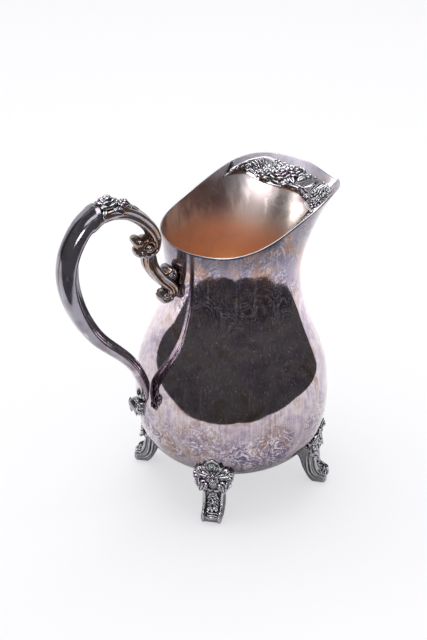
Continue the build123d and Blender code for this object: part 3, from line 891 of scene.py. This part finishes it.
def build_feet():
    foot = Relief()
    leg_core(foot)
    # pad on the body
    pad = Relief(pad_place)
    outline = smooth(PAD)
    pad.slab(lambda z: -np.maximum(outline(z), 0.3), lambda z: np.maximum(outline(z), 0.3), 1.1, -1.5,
             (PAD[0][0], PAD[-1][0]), dome=0.35)
    for turn, reach, width in ((90, 13.8, 6.6), (118, 13.4, 6.2), (62, 13.4, 6.2), (145, 13.6, 6.0),
                               (35, 13.6, 6.0), (168, 14.6, 5.6), (12, 14.6, 5.6)):
        a = math.radians(turn)
        pad.leaf(2.4 * math.cos(a), 37.6 + 2.4 * math.sin(a), 1.6, turn, reach - 2.4, width, 3.4,
                 tip=-0.2, vein=0.6, shape=LOBE)
        pad.bead(reach * 0.9 * math.cos(a), 37.6 + reach * 0.9 * math.sin(a), 2.2, 1.5)
    pad.daisy(0, 35.6, 2.2, 4.6, 7, 2.6, turn=90, heart=0.42)
    for half in (Half(pad, -1), Half(pad, 1)):
        half.curl(11.6, 41.2, 1.9, 200, -1.2, 3.0, 1.0, 1.8, 3.0, eye=1.3)
        half.leaf(9.0, 36.6, 1.8, -14, 5.2, 4.8, 3.2, bend=0.2, tip=0.7, shape=LOBE)
        half.leaf(5.2, 33.4, 1.8, -24, 6.4, 4.6, 3.4, bend=-0.1, tip=1.0, shape=LOBE)
        half.leaf(3.4, 30.6, 1.8, -36, 6.6, 4.2, 3.4, bend=-0.15, tip=1.3, shape=LOBE)
        half.leaf(9.6, 32.0, 1.6, 52, 5.4, 2.6, 2.6, tip=0.6)
        half.tube([(2.2, 26.6, 2.2), (7.4, 28.4, 2.6), (11.0, 32.2, 2.2), (12.4, 36.4, 1.5)],
                 [1.2, 2.2, 2.0, 1.0], [2.0, 2.8, 2.6, 1.4], n=20)
        half.bead(8.2, 45.2, 1.6, 1.1)
        half.bead(13.8, 38.0, 1.6, 1.2)
        half.bead(5.0, 49.6, 1.3, 0.9)
        half.bead(6.4, 36.4, 2.0, 1.0)
        # lobes hanging at the sides, and a scroll between them and the collar
        half.leaf(11.0, 36.0, 2.2, -92, 8.4, 5.4, 3.8, bend=-0.15, tip=1.6)
        half.leaf(8.2, 33.4, 2.6, -82, 8.0, 4.6, 3.8, bend=-0.1, tip=2.0)
        half.bead(9.4, 29.0, 3.2, 1.7)
        half.curl(5.2, 29.6, 2.6, 120, -1.1, 2.6, 0.9, 1.6, 3.0, eye=1.1)
        # leaf standing off the corner
        half.leaf(8.6, 31.0, 1.2, -6, 4.0, 4.4, 2.8, bend=0.3, tip=1.6, shape=LOBE)
    foot.merge(pad)
    # collar of beads where the leg leaves the pad
    foot.tube([(COLLAR[0], -8.6, COLLAR[1]), (COLLAR[0], 0, COLLAR[1] + 0.3), (COLLAR[0], 8.6, COLLAR[1])],
              [3.4, 5.2, 5.6, 5.6, 5.2, 3.4], n=24)
    for y, r in ((-6.3, 2.0), (-2.3, 2.5), (2.3, 2.5), (6.3, 2.0)):
        foot.bead(COLLAR[0] + 1.9, y, COLLAR[1] - 0.4, r)
    # relief down the front of the leg
    leg = Relief(leg_place)
    for half in (Half(leg, -1), Half(leg, 1)):
        half.tube([(6.7, 1.0, 0.2), (6.5, 8.0, 0.5), (6.3, 14.0, 0.5), (6.2, 20.0, 0.3),
                  (5.4, 25.5, -0.5)], [1.8, 2.4, 2.4, 2.4, 1.4], n=36)
        half.leaf(0.6, 5.0, 0.0, 60, 5.4, 2.8, 2.2, bend=-0.2)
        half.leaf(0.6, 9.0, 0.0, 24, 4.4, 2.4, 2.0, bend=0.3)
        half.leaf(0.8, 14.6, -0.2, 62, 5.0, 2.6, 2.2, bend=-0.2)
        half.curl(2.6, 17.6, -0.2, 200, 1.0, 1.9, 0.7, 1.0, 1.8)
        half.bead(3.9, 3.0, 0.2, 0.9)
        half.bead(3.8, 12.6, 0.0, 0.8)
        # ribs that follow the leg's flanks
        for a in (3.0, 5.6):
            half.tube([(7.6, 3.0, -a), (7.7, 9.0, -a), (7.7, 14.0, -a - 0.3),
                      (7.3, 19.5, -a + 0.2)], [0.5, 1.3, 1.3, 0.4], [0.8, 1.5, 1.5, 0.6], n=22)
    leg.daisy(0, 4.4, 0.3, 3.2, 6, 2.0, turn=30)
    leg.rose(0, 11.8, 0.0, 3.3, 2.2)
    leg.leaf(0, 14.8, -0.2, 90, 5.2, 3.4, 2.2)
    # shiny roll across the toe
    leg.tube([(-5.6, 23.4, -0.9), (0, 23.8, -0.3), (5.6, 23.4, -0.9)], [2.2, 4.0, 4.4, 4.0, 2.2],
             [2.2, 3.4, 3.8, 3.4, 2.2], n=22)
    leg.tube([(-5.0, 20.4, -0.6), (0, 20.9, -0.3), (5.0, 20.4, -0.6)], [0.8, 1.7, 1.8, 1.7, 0.8],
             [1.0, 1.7, 1.8, 1.7, 1.0], n=18)
    foot.merge(leg)
    mesh = foot.fuse("scroll_foot", 0.32, 1, cast, centre=np.zeros(3))
    p = coords(mesh)
    # nothing goes into the body's wall or under the table
    angle, r, z = np.arctan2(p[:, 1], p[:, 0]), np.hypot(p[:, 0], p[:, 1]), p[:, 2]
    least = profile(np.clip(z, FLOOR_Z, 200)) + CLEARANCE
    push = (z > FLOOR_Z) & (r < least)
    k = np.where(push, least / np.maximum(r, 1), 1.0)
    p = np.stack([p[:, 0] * k, p[:, 1] * k, np.maximum(z, 0.0)], -1)
    set_coords(mesh, p)
    for name, angle in FOOT_ANGLES.items():
        turn = Matrix.Translation(Vector(AXIS * MM)) @ Matrix.Rotation(math.radians(angle), 4, "Z")
        place_mesh(mesh, name, turn)


# ---- handle castings --------------------------------------------------------------------------
def handle_line(points):
    """(distance behind the axis, height) points in the handle's plane."""
    return [(-b, 0.0, z) for b, z in points]


def spiral(centre, start, turns, r0, r1, n=26):
    t = np.linspace(0, 1, n)
    a = np.radians(start) + 2 * np.pi * turns * t
    r = r0 + (r1 - r0) * t
    return [(centre[0] + r[k] * math.cos(a[k]), centre[1] + r[k] * math.sin(a[k])) for k in range(n)]


ACROSS = np.array([0.0, 1.0, 0.0])


def flank(s):
    """Relief on one side of the handle, drawn as (distance behind the axis, height, mm out)."""
    return Relief(lambda p: np.stack([-p[:, 0], s * p[:, 2], p[:, 1]], -1))


def beside(points, offset, n=40):
    """A smooth curve through the points, shifted square to itself."""
    c = curve(points, n)
    d = steps(c)
    return c + np.stack([-d[:, 1], d[:, 0]], -1) * np.broadcast_to(offset, n)[:, None]


def barrel(work, at, r, half):
    """A roll across the handle with rounded ends."""
    y = np.linspace(-half, half, 5)
    size = [r * 2 * k for k in (0.45, 0.8, 0.95, 1.0, 0.95, 0.8, 0.45)]
    work.tube([(-at[0], v, at[1]) for v in y], size, n=26, sides=20)


def build_upper():
    work = Relief()
    work.tube(handle_line(UPPER[:-1] + spiral(VOLUTE, 205, 1.45, 7.2, 2.6)),
              [15.0, 15.4, 15.0, 14.4, 13.8, 13.2, 12.6, 12.2, 12.0, 11.6],
              [9.6, 10.2, 9.8, 9.0, 7.8, 6.0, 4.6, 3.8, 3.4, 3.0], n=110, sides=44, across=ACROSS,
              ridges=(4, 0.55))
    u = np.linspace(0, 1, 40)
    # raised cords along both edges and down the middle of the back
    lift = np.interp(u, [0, 0.35, 0.7, 1], [9.4, 9.0, 7.2, 5.0]) / 2
    for y, w in ((-6.0, 2.2), (6.0, 2.2), (0.0, 2.6)):
        line = beside(UPPER, lift * (-0.72 if y else -0.96))
        work.tube([(-line[k, 0], y * (1 - 0.15 * k / 40), line[k, 1]) for k in range(6, 38, 3)],
                  [0.8, w, w, w, 0.8], n=44, sides=10, across=ACROSS)
    # two broad ridges down each side
    shrink = np.interp(u, [0, 0.5, 1], [1.0, 0.9, 0.62])
    for offset, y, size in ((-2.5, 5.9, 4.2), (2.3, 5.7, 3.8)):
        line = beside(UPPER, offset * shrink)[5:39:3]
        for s in (-1, 1):
            work.tube([(-q[0], s * y * (0.88 + 0.12 * k), q[1]) for q, k in zip(line, shrink[5:39:3])],
                      [0.6 * size, size, size, 0.9 * size, 0.5 * size], n=50, across=ACROSS)
    barrel(work, VOLUTE, 3.3, 7.7)
    barrel(work, (77.4, 214.6), 3.7, 6.6)
    barrel(work, (75.2, 206.0), 4.4, 7.0)
    for s in (-1, 1):
        side = flank(s)
        side.curl(VOLUTE[0], VOLUTE[1], 5.6, 205, 1.6, 6.9, 2.2, 2.0, 2.2, eye=2.2)
        work.merge(side)
    # small pierced leaf under the cuff
    work.tube(handle_line([(112.5, 232.0), (108.0, 233.6), (103.0, 235.6), (98.0, 236.2)]),
              [6.0, 9.0, 8.0, 3.0], [2.0, 2.6, 2.2, 1.0], n=20, across=ACROSS)
    mesh = work.fuse("handle_upper_scroll", 0.36, 2, bright)
    place_mesh(mesh, "handle_upper_scroll")


def build_bracket():
    work = Relief()
    work.tube(handle_line(BRACKET), [13.0, 12.8, 12.6, 12.4, 12.0, 11.4, 9.0],
              [8.6, 8.8, 8.4, 7.6, 6.4, 5.0, 3.0], n=60, sides=28, across=ACROSS, ridges=(3, 0.5))
    for offset in (-2.3, 2.2):
        for s in (-1, 1):
            work.tube([(-q[0], s * 5.2, q[1]) for q in beside(BRACKET[:6], offset)[1:38:4]],
                      [2.0, 3.4, 3.4, 3.0, 1.4], n=44, across=ACROSS)
    work.tube(handle_line(spiral(BRACKET_CURL, 20, -1.35, 4.4, 1.6)), [11.6, 12.6, 12.8, 12.2],
              [2.6, 2.4, 2.2, 1.8], n=50, sides=16, across=ACROSS)
    barrel(work, BRACKET_CURL, 2.1, 6.4)
    barrel(work, BRACKET_END, 2.3, 6.1)
    for s in (-1, 1):
        side = flank(s)
        side.curl(*BRACKET_CURL, 5.2, 20, -1.3, 4.2, 1.5, 1.6, 1.8, eye=1.4)
        side.leaf(60.5, 184.5, 4.2, -118, 9.5, 4.2, 2.6, bend=0.2, vein=0.5)
        side.leaf(57.5, 179.0, 4.4, -128, 8.0, 3.6, 2.6, bend=0.1, vein=0.5)
        side.leaf(54.5, 174.0, 4.6, -100, 7.0, 3.4, 2.4, bend=0.3, vein=0.5)
        side.leaf(66.4, 199.0, 4.4, -84, 10.0, 3.0, 2.2, bend=-0.1, vein=0.4)
        side.curl(*BRACKET_END, 4.8, 120, 1.2, 3.6, 1.2, 1.5, 1.8, eye=1.2)
        side.bead(58.6, 176.2, 4.8, 1.3)
        side.bead(55.6, 179.8, 5.0, 1.1)
        work.merge(side)
    mesh = work.fuse("handle_bracket", 0.34, 1, bright)
    clear_of_wall(mesh)
    place_mesh(mesh, "handle_bracket")


def build_tail():
    work = Relief()
    barrel(work, TAIL, 4.7, 5.9)
    work.tube(handle_line(spiral(TAIL, 60, -1.2, 5.0, 2.4)), [8.0, 11.0, 12.0, 11.4], [2.2, 2.6, 2.4, 2.0],
              n=40, sides=14, across=ACROSS)
    barrel(work, TAIL_TIP, 3.1, 4.2)
    for s in (-1, 1):
        side = flank(s)
        side.curl(*TAIL, 5.0, 60, -1.3, 4.6, 1.6, 1.6, 2.0, eye=1.6)
        side.leaf(78.5, 84.0, 3.6, -100, 7.6, 4.0, 2.4, vein=0.5)
        side.leaf(82.6, 84.6, 3.4, -70, 6.0, 3.2, 2.2, bend=-0.2, vein=0.5)
        side.leaf(77.2, 89.6, 3.8, 96, 7.2, 3.6, 2.2, vein=0.5)
        side.bead(78.6, 79.6, 3.2, 1.6)
        work.merge(side)
    mesh = work.fuse("handle_tail", 0.3, 1, cast)
    clear_of_wall(mesh)
    place_mesh(mesh, "handle_tail")


def build_grips():
    """The hollow grip's two halves, soldered along the middle: a rounded bar with a raised rib
    along its inside, ending at the top in a flared, dished cuff."""
    rows = 170
    u = np.linspace(0, 1, rows)
    c = curve(GRIP, rows)
    d = steps(c)
    inward = np.stack([-d[:, 1], d[:, 0]], -1)
    end = eased(u, 0.0, 0.035) * 0.45 + 0.55
    flare = 1 + 0.05 * np.exp(-((u - 0.985) / 0.012) ** 2)
    t = smooth(GRIP_THICK)(u) / 2 * end * flare
    w = smooth(GRIP_WIDTH)(u) / 2 * end * flare
    rib = smooth(RIB_THICK)(u) / 2 * eased(u, 0.03, 0.09) * (1 - eased(u, 0.60, 0.95))
    phi = np.linspace(-math.pi / 2, math.pi / 2, 65)
    n = np.sign(np.sin(phi)) * np.abs(np.sin(phi)) ** 0.8 * t[:, None]
    y = np.abs(np.cos(phi)) ** 0.8 * w[:, None]
    step = eased(RIB_WIDTH / 2 + 0.35 - y, 0.0, 0.7) * (np.sin(phi) > 0)
    fillet = 0.35 * np.exp(-((y - RIB_WIDTH / 2 - 1.2) / 0.9) ** 2) * (np.sin(phi) > 0)
    n = n + (step * rib[:, None]) - fillet * eased(u, 0.05, 0.1)[:, None]
    slant = eased(u, 0.74, 1.0)[:, None] * (-0.70 * (n + t[:, None]))
    at = c[:, None] + inward[:, None] * n[..., None] + d[:, None] * slant[..., None]
    side = np.stack([-at[..., 0], np.maximum(y, 0.02), at[..., 1]], -1)
    rim, heart = side[-1], np.array([-c[-1, 0], 0.02, c[-1, 1]])
    out = np.array([-d[-1, 0], 0.0, d[-1, 1]])
    caps = []
    for k, depth in ((0.965, 0.35), (0.92, 0.35), (0.86, -0.6), (0.74, -2.0), (0.5, -3.2), (0.22, -3.6)):
        ring = heart + (rim - heart) * k + out * depth
        ring[:, 1] = np.maximum(ring[:, 1], 0.02)
        caps.append(ring)
    foot_heart = np.array([-c[0, 0], 0.02, c[0, 1]])
    start = [foot_heart + (side[0] - foot_heart) * k - np.array([-d[0, 0], 0, d[0, 1]]) * (1 - k) * 1.6
             for k in (0.3, 0.7)]
    grid = np.concatenate([np.stack(start), side, np.stack(caps)])
    faces = capped(*grid.shape[:2])
    verts = grid.reshape(-1, 3)
    for name, sign in (("handle_grip_left", 1), ("handle_grip_right", -1)):
        turned_faces = faces if sign > 0 else [f[::-1] for f in faces]
        ob = make_object(name + "_detail", verts * [1, sign, 1], turned_faces, [dark], sharp=55)
        clear_of_wall(ob.data)
        stand_for(ob, name)


crest_line = curve(UPPER, 120)
crest_step = steps(crest_line)
crest_along = lengths(crest_line)


def crest_place(p):
    """(mm along the scroll's back from under the cuff, mm sideways, height) to the row frame."""
    v, y, h = p[:, 0], p[:, 1], p[:, 2]
    at, d = at_length(v, crest_along, crest_line), at_length(v, crest_along, crest_step)
    out = np.stack([d[:, 1], -d[:, 0]], -1)
    thick = np.interp(v / crest_along[-1], [0, 0.35, 0.7, 1], [9.6, 9.2, 7.2, 5.2]) / 2
    # the back is rounded from side to side
    drop = thick * (1 - np.sqrt(np.clip(1 - (y / 9.5) ** 2, 0.05, 1)))
    q = at + out * (thick - drop + h)[:, None]
    return np.stack([-q[:, 0], y, q[:, 1]], -1)


def build_spray():
    work = Relief(lambda p: crest_place(p + [3.0, 0.0, 0.0]))
    work.tube([(3.5, 0, 0.6), (12, 0.5, 0.8), (22, 0.2, 0.6), (33, 0, 0.1)], [5.0, 8.5, 6.0, 1.5],
              [1.6, 2.2, 1.8, 0.8], n=30)
    work.rose(12.6, 0.3, 1.9, 6.6, 4.8)
    work.rose(22.6, -2.4, 1.2, 4.0, 3.4)
    work.daisy(21.4, 3.8, 1.0, 3.2, 6, 2.4, turn=20)
    work.daisy(27.0, 1.0, 0.8, 2.8, 5, 2.2, turn=50)
    work.bead(5.6, 2.6, 1.6, 1.9)
    work.bead(5.8, -2.8, 1.5, 1.7)
    work.bead(29.4, -2.2, 0.8, 1.3)
    for x, y, turn, length, width, bend, tip in (
            (14.0, 5.0, 38, 8.0, 4.0, -0.2, -0.6), (14.0, -5.0, -38, 8.0, 4.0, 0.2, -0.6),
            (10.0, 5.0, 120, 6.0, 3.6, 0.2, -0.8), (10.0, -5.0, -120, 6.0, 3.6, -0.2, -0.8),
            (18.0, 0.8, 4, 9.5, 3.8, 0.1, 0.2), (26.0, 3.0, 22, 7.0, 3.2, -0.2, -0.4),
            (26.0, -3.0, -24, 7.0, 3.2, 0.2, -0.4), (29.0, 0.0, 2, 8.0, 3.0, 0.0, -0.3),
            (7.0, 0.0, 178, 5.0, 4.0, 0.0, 0.6), (18.0, 6.0, 64, 4.6, 2.8, 0.1, -0.8),
            (18.0, -5.6, -64, 4.6, 2.8, -0.1, -0.8)):
        work.leaf(x, y, 0.9, turn, length, width, 2.2, bend=bend, tip=tip, vein=0.5)
    mesh = work.fuse("handle_flower_spray", 0.28, 1, cast)
    place_mesh(mesh, "handle_flower_spray")


build_body()
build_guard()
build_feet()
build_upper()
build_bracket()
build_tail()
build_spray()
build_grips()
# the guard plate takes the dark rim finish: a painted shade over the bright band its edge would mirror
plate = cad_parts["ice_guard_plate"]
plate.data.materials.clear()
plate.data.materials.append(lip)


# ---- camera, floor and light ---------------------------------------------------------------
def look_at(ob, target):
    ob.rotation_euler = (Vector(target) - ob.location).to_track_quat("-Z", "Y").to_euler()


def build_camera():
    cam = bpy.data.cameras.new("camera")
    cam.sensor_width = 36.0
    cam.sensor_fit = "AUTO"
    cam.lens = 84.4
    ob = bpy.data.objects.new("camera", cam)
    bpy.context.scene.collection.objects.link(ob)
    ob.location = (np.array([-525.6, -782.4, 663.7]) + AXIS) * MM
    look_at(ob, (np.array([-11.1, 7.2, 129.6]) + AXIS) * MM)
    bpy.context.scene.camera = ob


def stage_plane(name, points, material, glossy):
    """Flat card; either what the camera and the floor's light see, or only what the metal mirrors."""
    ob = make_object(name, points, [list(range(len(points)))], [material])
    ob.visible_glossy = glossy
    ob.visible_camera = not glossy
    ob.visible_diffuse = not glossy
    ob.visible_shadow = not glossy
    return ob


def build_stage():
    floor = Finish("pale_floor")
    floor.bsdf.inputs["Emission Color"].default_value = (0.98, 0.975, 1.0, 1)
    floor.bsdf.inputs["Emission Strength"].default_value = 0.60
    big = 6000
    stage_plane("floor", [(-big, -big, 0), (big, -big, 0), (big, big, 0), (-big, big, 0)],
                floor.finish((0.25, 0.25, 0.255), 0.9, 0.0), False)
    # the white sheet that the metal mirrors ends just in front of the pitcher
    sheet = [(-303, -19), (-247, -141), (-136, -263), (18, -308), (211, -275), (339, -149), (420, -95),
             (600, -45), (1000, -80), (1500, 400), (1500, 2500), (-1500, 2500), (-900, 700), (-420, 150)]
    stage_plane("mirrored_sheet", [(x, y, 0.05) for x, y in sheet],
                Finish("mirrored_sheet").finish((0.9, 0.9, 0.91), 0.9, 0.0), True)


def area_light(name, at, aim, size, power, colour=(1, 1, 1), glossy=True):
    light = bpy.data.lights.new(name, "AREA")
    light.shape = "RECTANGLE"
    light.size, light.size_y = size
    light.energy = power
    light.color = colour
    ob = bpy.data.objects.new(name, light)
    bpy.context.scene.collection.objects.link(ob)
    ob.location = at
    look_at(ob, aim)
    ob.visible_glossy = glossy
    return ob


# (direction, elevation, cosine at the edge, cosine inside, strength) of the lights that the metal mirrors
SOFTBOXES = [(-140, 21, 0.968, 0.988, 11.0), (-129, 40, 0.986, 0.996, 0.5), (0, 90, 0.93, 0.97, 1.5),
             (-165, 62, 0.95, 0.985, 2.2), (-60, 64, 0.982, 0.993, 4.5)]
INTO_ROOM = 237         # direction from the camera into the room, degrees
DARK_ROOM = 0.085       # brightness behind the camera, against 1 for the white backdrop


def build_world():
    world = bpy.data.worlds.new("studio")
    bpy.context.scene.world = world
    world.use_nodes = True
    f = Tree(world.node_tree)
    f.nodes.clear()
    towards = f.add("TexCoord", "Generated")
    turned = f.add("VectorRotate", ROTATION_TYPE="Z_AXIS", Angle=math.radians(-INTO_ROOM), Vector=towards)
    x, z = f.add("SeparateXYZ", "X", Vector=turned), f.add("SeparateXYZ", "Z", Vector=turned)
    # dark room on the camera's side; the backdrop behind ends a little above eye level
    total = f.span(x, -0.51, -0.49, 1.0, DARK_ROOM) * f.span(z, 0.50, 0.66, 1.0, 0.26)
    stand = f.span(z, 0.305, 0.33)                     # the stands hide the softboxes' lowest parts
    for turn, rise, edge, inside_edge, strength in SOFTBOXES:
        a, e = math.radians(turn), math.radians(rise)
        spot = f.nodes.new("ShaderNodeVectorMath")
        spot.operation = "DOT_PRODUCT"
        f.plug(towards, spot.inputs[0])
        spot.inputs[1].default_value = (math.cos(a) * math.cos(e), math.sin(a) * math.cos(e), math.sin(e))
        cosine = Value(f, spot.outputs["Value"])
        total = f.span(cosine, edge, inside_edge, 0.0, strength) * stand + total
    # everything but the metal's mirroring sees plain white
    mirrored = f.add("LightPath", "Is Glossy Ray")
    back = f.add("Background", Color=(total - 1.0) * mirrored + 1.0, Strength=1.0)
    f.add("OutputWorld", None, Surface=back)


build_camera()
build_stage()
build_world()
area_light("soft_top", (0.1, 0.3, 1.6), (0, 0, 0.1), (1.2, 1.2), 18)
bpy.context.scene.view_settings.view_transform = "Standard"
